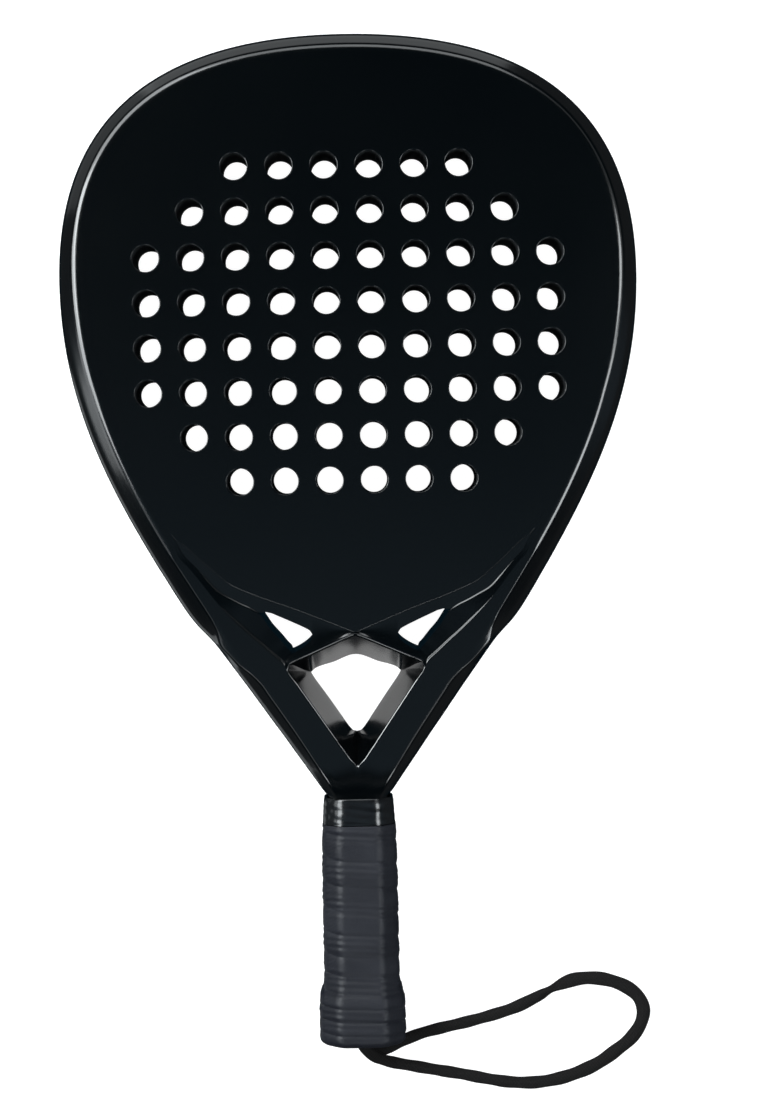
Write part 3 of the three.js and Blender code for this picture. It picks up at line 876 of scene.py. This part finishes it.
def drilled_plate(name, face_height, back_height, rounding):
    """A plate of the face's outline with round holes, rounded at the edges that show."""
    outline = face_outline()
    normals = inward_normals(outline)
    shows = 1 if face_height > back_height else -1
    sizes = edge_roundings(outline) * (1 if rounding else 0)
    inset = np.array(outline) + normals * (sizes * EDGE_COLLAR_SHARE)[:, None]
    inset = [tuple(point) for point in inset]
    centres = hole_centres()
    wide = HOLE_RADIUS + HOLE_COLLAR_SHARE * rounding + HOLE_COLLAR
    corners, triangles = cut_face(inset, centres, wide)
    points = []
    faces = []
    for height in (face_height, back_height):
        start = len(points)
        points += [(x, y, height) for x, y in corners]
        faces += [tuple(int(start + k) for k in triangle) for triangle in triangles]
    sides = [[(x, y, face_height) for x, y in inset]]
    for share, drop in rounded_profile(1.0):
        loop = np.array(outline) + normals * (sizes * share)[:, None]
        heights = face_height - shows * sizes * drop
        sides.append([(x, y, height) for (x, y), height in zip(loop, heights)])
    sides.append([(x, y, back_height) for x, y in outline])
    sides.append([(x, y, back_height) for x, y in inset])
    close_loops(points, faces, sides)
    for centre in centres:
        rings = [ring(centre, wide, face_height)]
        for out, drop in rounded_profile(rounding) if rounding else [(0, 0)]:
            rings.append(ring(centre, HOLE_RADIUS + out, face_height - shows * drop))
        rings.append(ring(centre, HOLE_RADIUS, back_height))
        rings.append(ring(centre, wide, back_height))
        close_loops(points, faces, rings)
    return welded(name, points, faces)


def face_pieces():
    top, low = MID + HALF_DEPTH, MID - HALF_DEPTH
    front = drilled_plate("front_sheet", top, top - SHEET_THICKNESS, HOLE_ROUNDING)
    back = drilled_plate("back_sheet", low, low + SHEET_THICKNESS, HOLE_ROUNDING)
    core = drilled_plate("foam_core", top - SHEET_THICKNESS, low + SHEET_THICKNESS, 0.0)
    place_piece(front, "root", LACQUER, "lacquered_carbon", "front_face_sheet")
    place_piece(back, "root", LACQUER, "lacquered_carbon", "back_face_sheet")
    place_piece(core, "root", CORE_FOAM, "core_foam", "eva_core")


face_pieces()


# ------------------------------------------------------------------ throat bridge

# The bridge's right half as lines of (x, y, height above the middle plane). A band
# falls from the face's lower edge to the valley, which runs down beside the arm, then
# is the window's upper edge, and then meets the leg. The leg rises from the window's
# lower edge to its crest. The throat's wall leans in from the lip under the crest.
BAND_TOP = 18.35
MEETING = [(14, -40.7, 18.1), (8, -40.4, 18.1), (3, -40.3, 18.3), (0, -40.2, 18.4)]
VALLEY = [
    (79.8, 2.4, 18.3), (74.5, -6.0, 18.2), (66.5, -14.4, 18.1), (60.5, -20.9, 18.0),
    (57, -22.8, 17.9), (50, -26.5, 17.8), (44.4, -29.4, 17.8), (42.2, -30.4, 17.8),
    (39.6, -30.2, 17.8), (34, -32.2, 17.8), (30, -34.0, 17.8), (25, -36.3, 17.8),
    (22.0, -37.8, 17.9), (20.2, -38.9, 18.0), (18.9, -40.7, 18.1), *MEETING,
]
LEG_EDGE = [
    (31.5, -53.0, 18.5), (30.0, -50.6, 18.6), (29.0, -49.2, 18.6), (28.0, -48.7, 18.6),
    (26.6, -48.1, 18.6), (23.7, -46.4, 18.5), (21.2, -44.5, 18.4), (19.6, -42.6, 18.2),
    (18.9, -40.7, 18.1), *MEETING,
]
LEG_CREST = [
    (31.5, -53.8, 18.7), (28.3, -52.2, 18.9), (24, -50.5, 19), (12, -45.3, 19), (3, -41.4, 19),
    (0, -40.4, 18.9),
]
LEG_LIP = [
    (31.5, -55.0, 18.4), (28.3, -53.3, 18.5), (24, -51.6, 18.5), (12, -46.4, 18.5),
    (3, -42.5, 18.5), (0, -41.4, 18.4),
]
THROAT_NECK = [
    (31.5, -60.2, 0), (24.0, -60.0, 0), (20.8, -59.1, 0), (18.4, -57.1, 0), (15, -55.8, 0),
    (10, -54.4, 0), (5, -52.3, 0), (2, -51.3, 0), (0, -51.1, 0),
]
CREST_ROUNDING = 0.45

# Where the lines are sampled: closely round the window's corners.
WINDOW_INNER_X = 18.9
MIDDLE_XS = list(np.linspace(WINDOW_INNER_X, 0, 16))
WINDOW_XS = [42.2, 41.6, 40.8, 39.6, 37, 34, 31, 28, 25, 23.4, 22, 21, 20.2, 19.6, 19.2]
BAND_XS = list(np.linspace(79.8, 43.2, 26)) + WINDOW_XS + MIDDLE_XS
LEG_XS = [31.5, 30.6, 29.8, 29.2, 28.8, 28.4, 27.4, 26.6, 25.2, 23.6, 22.2, 21.2, 20.3,
          19.6, 19.2] + MIDDLE_XS


def strip(points, faces, one, other):
    """Adds quads between two lines of the same number of points."""
    start = len(points)
    count = len(one)
    points += [tuple(p) for p in one] + [tuple(p) for p in other]
    for k in range(count - 1):
        faces.append((start + k, start + k + 1, start + count + k + 1, start + count + k))


def at_mid(line):
    return np.array(line) * (1, 1, 0)


def bridge_piece():
    face = curve_by_x([(x, y, BAND_TOP) for x, y in FACE_EDGE], BAND_XS)
    valley = curve_by_x(VALLEY, BAND_XS)
    edge, crest, lip, neck = (
        curve_by_x(line, LEG_XS) for line in (LEG_EDGE, LEG_CREST, LEG_LIP, THROAT_NECK)
    )
    window = 1 + len(BAND_XS) - len(MIDDLE_XS)
    leg_window = 1 + len(LEG_XS) - len(MIDDLE_XS)
    size = np.full(len(LEG_XS), CREST_ROUNDING)
    leg_lines = [edge, *rounded_corner(edge, crest, lip, size, 4)]
    leg_lines += [*rounded_corner(crest, lip, neck, size, 4), neck]
    quarter = []
    faces = []
    strip(quarter, faces, face, valley)
    for one, other in zip(leg_lines, leg_lines[1:]):
        strip(quarter, faces, one, other)
    for line in (face, valley[:window], edge[:leg_window], [face[0], valley[0]]):
        strip(quarter, faces, line, at_mid(line))
    start = len(quarter)
    quarter += [tuple(line[0]) for line in leg_lines] + [tuple(at_mid([edge[0]])[0])]
    faces.append(tuple(range(start, len(quarter))))
    bridge = four_fold("bridge_shell", quarter, faces)
    place_piece(bridge, "root", LACQUER, "lacquered_carbon", "throat_bridge")


bridge_piece()


# ------------------------------------------------------------------ handle

# A section across the handle is an octagon with rounded corners, a little lower than
# wide. Its corners lie at these shares of the half width and of the half height.
FLATTER = (WRAP_HIGH[0] - (WRAP_HIGH[2] - MID))
FRONT_SHARE = 0.55
SIDE_SHARE = 0.5
CORNER_STEPS = 6
FACET_STEPS = 9
MOST_OF_FACET = 0.45
FACET_ANGLE = 55


def section(y, half, reach):
    """Points around the handle as (x, y, height above the middle), and their normals."""
    wide, high = half, half - FLATTER
    right = [(FRONT_SHARE * wide, high), (wide, SIDE_SHARE * high)]
    right += [(x, -z) for x, z in reversed(right)]
    corners = np.array(right + [(-x, z) for x, z in reversed(right)])
    arcs = []
    for before, corner, after in zip(np.roll(corners, 1, 0), corners, np.roll(corners, -1, 0)):
        back, ahead = before - corner, after - corner
        start = corner + back * min(reach / np.linalg.norm(back), MOST_OF_FACET)
        end = corner + ahead * min(reach / np.linalg.norm(ahead), MOST_OF_FACET)
        turns = np.linspace(0, 1, CORNER_STEPS)[:, None]
        arcs.append((1 - turns) ** 2 * start + 2 * turns * (1 - turns) * corner + turns ** 2 * end)
    points = []
    for arc, following in zip(arcs, arcs[1:] + arcs[:1]):
        points.append(arc)
        shares = np.linspace(0, 1, FACET_STEPS + 2)[1:-1, None]
        points.append(arc[-1] + (following[0] - arc[-1]) * shares)
    flat = np.concatenate(points)
    along = np.roll(flat, -1, axis=0) - np.roll(flat, 1, axis=0)
    along /= np.linalg.norm(along, axis=1)[:, None]
    normals = np.stack([-along[:, 1], np.zeros(len(flat)), along[:, 0]], axis=1)
    ring_points = np.stack([flat[:, 0], np.full(len(flat), y), flat[:, 1]], axis=1)
    return ring_points, normals


def sleeve_piece(name, rings):
    """A closed skin through rings that run down the outside and back up the inside."""
    count = len(rings[0])
    points = [(x, y, MID + height) for ring_points in rings for x, y, height in ring_points]
    faces = []
    for row in range(len(rings)):
        near = row * count
        far = (row + 1) % len(rings) * count
        for k in range(count):
            beside = (k + 1) % count
            faces.append((near + k, near + beside, far + beside, far + k))
    skin = mesh_object(name, points, faces)
    skin.data.set_sharp_from_angle(angle=math.radians(FACET_ANGLE))
    return skin


def half_at(stations, y):
    """The half width at one place along the handle, from stations of (y, half width)."""
    knots = [-place for place, _ in stations]
    return float(fade(knots, [half for _, half in stations], np.array([-y]))[0, 0])


# The wrap's half width along the handle, before its turns swell it.
WRAP_TOP = TAPE_END - 0.3
GRIP_STATIONS = [
    (WRAP_TOP, 16.5), (-137, 16.8), (-155, 17.0), (-197, 17.05), (-201, 17.4),
    (-205.5, 18.8), (-209, 19.3), (-222, 19.4), (-230, 19.4),
]
HEEL_RADIUS = 4.0
HEEL_END = -228.2
HEEL_START = HEEL_END + HEEL_RADIUS
HEEL_STEPS = 12
WRAP_WALL = 0.75
WRAP_REACH = 2.6
INNER_REACH = 1.2
WRAP_ROW_STEP = 0.4
WRAP_FADE = 0.8
# Turns of the wrap counted from its top: they lie closer together over the heel.
TURN_PLACES = (WRAP_TOP, -198.0, -230.0)
TURN_COUNTS = (0.5, 7.2, 12.2)
TURN_SWELL = 0.65
TURN_SINK = 0.6
PILLOW_POWER = 3.5
PILLOW_LEAN = (0.75, 0.25)
FOLD_DEPTH = 0.075
PLEAT_DEPTH = 0.035
# The wrap's inner side has rows this far apart, from just above the heel.
INSIDE_START = -219
INSIDE_STEP = 3
# The heel's inner side, from the wrap's end back to its full width.
HEEL_INSIDE = [(-226.8, 15.3), (-225.9, 15.35), (-225.8, 17.4), (-224.6, 18.2), (-222, 18.65)]


def wrap_relief(y, around, turn):
    """How far the wrap stands out: pillowed turns with tight creases, and fine wrinkles."""
    across = (turn - around) % 1.0
    lean = PILLOW_LEAN[0] + PILLOW_LEAN[1] * across
    pillow = TURN_SWELL * (1 - np.abs(2 * across - 1) ** PILLOW_POWER) * lean
    circle = 2 * math.pi * around
    folds = np.sin(2.1 * y + 2.0 * np.sin(2 * circle)) * (1 + np.sin(0.37 * y + circle))
    pleats = np.sin(3.9 * y + 3.0 * np.sin(circle + 1) + 0.26 * y * np.sin(circle))
    return pillow - TURN_SINK * TURN_SWELL + FOLD_DEPTH * folds + PLEAT_DEPTH * pleats


def overgrip_piece():
    rows = list(np.arange(WRAP_TOP, HEEL_START, -WRAP_ROW_STEP))
    profile = [(y, half_at(GRIP_STATIONS, y), min(1.0, (WRAP_TOP - y) / WRAP_FADE)) for y in rows]
    for step in range(1, HEEL_STEPS + 1):
        turn = math.pi / 2 * step / HEEL_STEPS
        half = half_at(GRIP_STATIONS, HEEL_START) - HEEL_RADIUS * (1 - math.cos(turn))
        profile.append((HEEL_START - HEEL_RADIUS * math.sin(turn), half, 1 - step / HEEL_STEPS))
    at = np.array([-y for y, _, _ in profile])
    turns = fade([-place for place in TURN_PLACES], TURN_COUNTS, at)[:, 0]
    rings = []
    for (y, half, strength), turn in zip(profile, turns):
        points, normals = section(y, half, WRAP_REACH)
        around = np.arange(len(points)) / len(points)
        relief = wrap_relief(y, around, turn) * strength
        rings.append(points + normals * relief[:, None])
    places = np.arange(INSIDE_START, WRAP_TOP - 1, INSIDE_STEP)
    inside = [(y, half_at(GRIP_STATIONS, y)) for y in places]
    inside.append((WRAP_TOP - 0.1, half_at(GRIP_STATIONS, WRAP_TOP)))
    inner = HEEL_INSIDE + [(y, half - WRAP_WALL) for y, half in inside]
    rings += [section(y, half, INNER_REACH)[0] for y, half in inner]
    wrap = sleeve_piece("overgrip_wrap", rings)
    place_piece(wrap, "root", WRAP, "overgrip", "overgrip")


TAPE_OUTSIDE = [
    (TAPE_TOP, 15.0), (-115.55, 15.4), (-116, 15.6), (-120.5, 16.0), (TAPE_END, 16.4),
]
TAPE_INSIDE = [(-127.4, 15.9), (-120, 15.4), (-116.2, 14.8), (-115.6, 14.5)]
TAPE_REACH = 3.2
TAPE_ROWS = [TAPE_TOP, -115.5, -115.65, *np.arange(-116, TAPE_END, -0.4), TAPE_END]
# Each set of wrinkles: how deep, how close along the handle, and how slanted round it.
WRINKLES = ((0.05, 1.7, 5), (0.04, 0.8, -9))
WRINKLE_FADE = 1.5


def tape_piece():
    """A tight glossy band with a few slanted wrinkles."""
    rings = []
    for y in TAPE_ROWS:
        points, normals = section(y, half_at(TAPE_OUTSIDE, y), TAPE_REACH)
        circle = 2 * math.pi * np.arange(len(points)) / len(points)
        wrinkle = sum(deep * np.sin(close * y + slant * circle) for deep, close, slant in WRINKLES)
        strength = min(WRINKLE_FADE, TAPE_ROWS[0] - y, y - TAPE_ROWS[-1]) / WRINKLE_FADE
        rings.append(points + normals * (wrinkle * strength)[:, None])
    rings += [section(y, half, TAPE_REACH)[0] for y, half in TAPE_INSIDE]
    tape = sleeve_piece("finishing_band", rings)
    place_piece(tape, "root", FILM, "finishing_tape", "finishing_tape")


# The butt cap from its slot's inner edge, out over the end's rim, up its wall and back
# down the bore: (y, half width, half height, reach of the rounded corners).
CAP_PROFILE = [
    (-225.4, 4.5, 6.0, 2.6), (-226.2, 4.5, 6.0, 2.6), (-226.8, 4.6, 6.1, 2.6),
    (-227.05, 4.9, 6.4, 2.7), (-227.1, 5.6, 7.1, 2.9), (-227.1, 9.4, 9.6, 3.0),
    (-227.15, 10.2, 9.9, 3.0), (-227.4, 10.8, 10.2, 3.0), (-227.5, 11.6, 10.6, 3.0),
    (-227.45, 12.4, 11.2, 3.0), (-227.1, 13.4, 12.1, 3.0), (-226.5, 14.3, 12.9, 2.8),
    (-225.6, 14.9, 13.4, 2.6), (-223.9, 16.0, 14.5, 2.2), (-221.5, 16.6, 15.1, 1.8),
    (-209, 16.7, 15.2, 1.6), (-208.2, 16.6, 15.1, 1.6), (-208, 16.2, 14.7, 1.6),
    (-208, 14.8, 13.3, 1.2), (-208.4, 14.2, 12.7, 1.2), (-210, 13.9, 12.4, 1.2),
    (-224.6, 13.9, 12.4, 1.2), (-225.3, 13.6, 12.1, 1.2), (-225.4, 12.9, 11.4, 1.2),
]


def cap_piece():
    rings = []
    for y, half_width, half_height, reach in CAP_PROFILE:
        points = section(y, half_width, reach)[0]
        points[:, 2] *= half_height / (half_width - FLATTER)
        rings.append(points)
    cap = sleeve_piece("butt_cap_shell", rings)
    place_piece(cap, "root", CAP_PLASTIC, "cap_plastic", "butt_cap")


overgrip_piece()
tape_piece()
cap_piece()


# ------------------------------------------------------------------ floor and lights

TABLE_HEIGHT = -0.4
PAD_HEIGHT = -0.2
THROAT_PAD_HALF = [(0, -45), (24, -53), (28, -57), (20, -64), (5, -78), (0, -79)]
BACKDROP_FOOT = -1
BACKDROP_RADIUS = 9000
BACKDROP_HEIGHT = 6000
BACKDROP_SIDES = 64


def make_table():
    """The table, a backdrop around it, and a pad under the throat.

    The pad is the one place where the lacquer mirrors the table.
    """
    material = table_material()
    turns = [2 * math.pi * k / BACKDROP_SIDES for k in range(BACKDROP_SIDES)]
    edge = [(BACKDROP_RADIUS * math.cos(a), BACKDROP_RADIUS * math.sin(a)) for a in turns]
    pad = THROAT_PAD_HALF + [(-x, y) for x, y in THROAT_PAD_HALF[-2:0:-1]]
    for name, outline, height in (("table", edge, TABLE_HEIGHT), ("throat_pad", pad, PAD_HEIGHT)):
        points = [(x, y, height) for x, y in outline]
        sheet = mesh_object(name, points, [tuple(range(len(outline)))])
        sheet.visible_glossy = name == "throat_pad"
        sheet.data.materials.append(material)
    points = [(x, y, z) for z in (BACKDROP_FOOT, BACKDROP_HEIGHT) for x, y in edge]
    count = BACKDROP_SIDES
    faces = [(k, (k + 1) % count, count + (k + 1) % count, count + k) for k in range(count)]
    backdrop = mesh_object("backdrop", points, faces)
    backdrop.data.materials.append(material)
    backdrop.visible_glossy = False
    backdrop.visible_diffuse = False


LIGHT_TINT = (0.93, 0.98, 1.0)
LIGHT_DISTANCE = 1.7


def softbox(name, turn, rise, width, height, glow, distance=LIGHT_DISTANCE, aim=(0, 0, 0)):
    """A glowing panel that faces a point. It turns from +X towards +Y, and rises."""
    data = bpy.data.lights.new(name, "AREA")
    data.shape = "RECTANGLE"
    data.size, data.size_y = width, height
    data.color = LIGHT_TINT
    data.energy = glow * width * height * math.pi
    light = bpy.data.objects.new(name, data)
    bpy.context.scene.collection.objects.link(light)
    turn, rise = math.radians(turn), math.radians(rise)
    level = math.cos(rise)
    outwards = Vector((math.cos(turn) * level, math.sin(turn) * level, math.sin(rise)))
    light.location = to_metres(aim) + outwards * distance
    light.rotation_euler = (-outwards).to_track_quat("-Z", "Y").to_euler()


# The ring of softboxes, by azimuth: how bright, how wide and how tall each one is.
RING_LIGHTS = {
    12: (0.8, 0.6, 0.6), 45: (0.5, 0.9, 0.35), 90: (4, 1.1, 0.6), 135: (8, 1.1, 0.8),
    170: (12, 1.0, 0.9), 215: (1.2, 0.8, 0.45), 245: (8, 0.45, 0.45), 295: (8, 0.45, 0.45),
    325: (1.3, 0.9, 0.6), 345: (11, 0.6, 0.6),
}
RING_RISE = 45
# The others: how far each is turned and raised, its width, height and brightness, and
# for the near ones their distance and what they face.
THROAT_AIM = (0, -75, 38)
OTHER_LIGHTS = {
    "left_low_softbox": (194, 21, 0.21, 0.16, 3.4, 0.5, (-120, 65, 25)),
    "throat_right_softbox": (35, 42, 0.12, 0.12, 12, 0.5, THROAT_AIM),
    "throat_left_softbox": (145, 42, 0.12, 0.12, 8, 0.5, THROAT_AIM),
    "head_low_softbox": (95, -8, 1.8, 1.0, 0.9),
    "head_left_low_softbox": (140, -8, 1.2, 1.0, 0.45),
    "left_foot_low_softbox": (205, -35, 1.0, 0.9, 0.8),
}

# The sky is this dark, but for a paler patch low over the racket's foot. The ranges say
# between which parts of a unit direction the patch fades in along Y, out along Y and up.
ZENITH = (0.003, 0.010, 0.016, 1)
FOOT_START = (0.06, -0.08)
FOOT_STOP = (-0.45, -0.25)
SKY_RANGE = (0.0, 0.25)
FOOT_SKY = (0.165, 0.225, 0.275, 1)
# How much the world glows, by the height of a unit direction: -1 is straight down.
HORIZON_GLOW = (
    (-0.75, 0.0), (-0.35, 0.09), (-0.04, 0.11), (0.06, 0.10), (0.30, 0.02), (0.5, 0.0),
)


def world_colour(sky):
    """Dark overhead, paler over the racket's foot, with a glow round the horizon."""
    way = sky.node("ShaderNodeTexCoord", {}).outputs["Generated"]
    parts = sky.node("ShaderNodeSeparateXYZ", {0: way}).outputs
    across = sky.product(sky.ranged(parts["Y"], *FOOT_START), sky.ranged(parts["Y"], *FOOT_STOP))
    patch = sky.product(across, sky.ranged(parts["Z"], *SKY_RANGE))
    inputs = {"Factor": patch, "A": ZENITH, "B": FOOT_SKY}
    base = sky.node("ShaderNodeMix", inputs, data_type="RGBA").outputs["Result"]
    stops = [(0.5 + 0.5 * height, (glow,) * 3) for height, glow in HORIZON_GLOW]
    inputs = {"Factor": 1.0, "A": base, "B": sky.ramp(sky.ranged(parts["Z"], -1, 1), stops)}
    mixed = sky.node("ShaderNodeMix", inputs, data_type="RGBA", blend_type="ADD")
    return mixed.outputs["Result"]


def make_studio():
    world = bpy.data.worlds.new("studio")
    bpy.context.scene.world = world
    world.use_nodes = True
    tree = world.node_tree
    tree.links.new(world_colour(Tree(tree)), tree.nodes["Background"].inputs["Color"])
    for turn, (glow, width, height) in RING_LIGHTS.items():
        softbox(f"ring_softbox_{turn}", turn, RING_RISE, width, height, glow)
    for name, settings in OTHER_LIGHTS.items():
        softbox(name, *settings)
    bpy.context.scene.view_settings.view_transform = "Standard"


make_table()
make_studio()

# ------------------------------------------------------------------ carried-over nodes

NODE_MATERIALS = {
    "frame_tube": LACQUER, "throat_bridge": LACQUER, "eva_core": CORE_FOAM,
    "front_face_sheet": LACQUER, "back_face_sheet": LACQUER, "base_grip": CUSHION,
    "handle_pallet_front": HANDLE_FOAM, "handle_pallet_back": HANDLE_FOAM,
    "overgrip": WRAP, "finishing_tape": FILM, "butt_cap": CAP_PLASTIC, "strap_knot": WEBBING,
}
for node_name, material in NODE_MATERIALS.items():
    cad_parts[node_name].data.materials.clear()
    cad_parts[node_name].data.materials.append(material)
